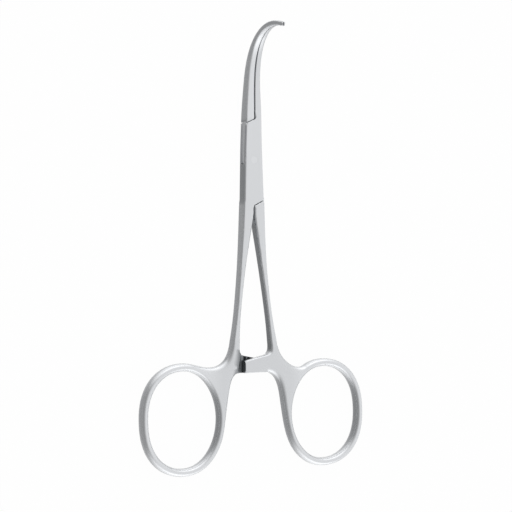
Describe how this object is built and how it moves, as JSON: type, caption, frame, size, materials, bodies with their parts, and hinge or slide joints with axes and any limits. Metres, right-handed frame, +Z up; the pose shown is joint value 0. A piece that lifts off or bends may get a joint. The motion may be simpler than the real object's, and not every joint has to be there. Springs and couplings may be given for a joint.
{
  "type": "wire grasping forceps",
  "caption": "Curved ring-handled grasping forceps with cross-serrated jaws, a box-lock hinge, ratchet arms and oval finger rings.",
  "frame": {"origin": "on the axis of the box-lock rivet, at the flush lower face of the box, which is the underside as the instrument lies flat", "axes": "+Y along the instrument towards the jaws, +X towards the right finger ring, +Z up from the lower face, the way the jaws curve"},
  "size_m": [0.0776, 0.1353, 0.0218],
  "materials": {
    "satin_steel": "satin ground stainless steel with brighter broken edges",
    "rivet_steel": "satin ground stainless steel, flush with the box"
  },
  "bodies": {
    "female_body": {"female_half": "satin_steel", "joint_pin": "rivet_steel"},
    "male_body": {"male_half": "satin_steel"}
  },
  "joints": [
    {"name": "box_joint", "type": "hinge", "parent": "female_body", "child": "male_body", "pos_m": [0, 0, 0.00185], "axis": [0, 0, 1], "range_deg": [0, 50]}
  ]
}
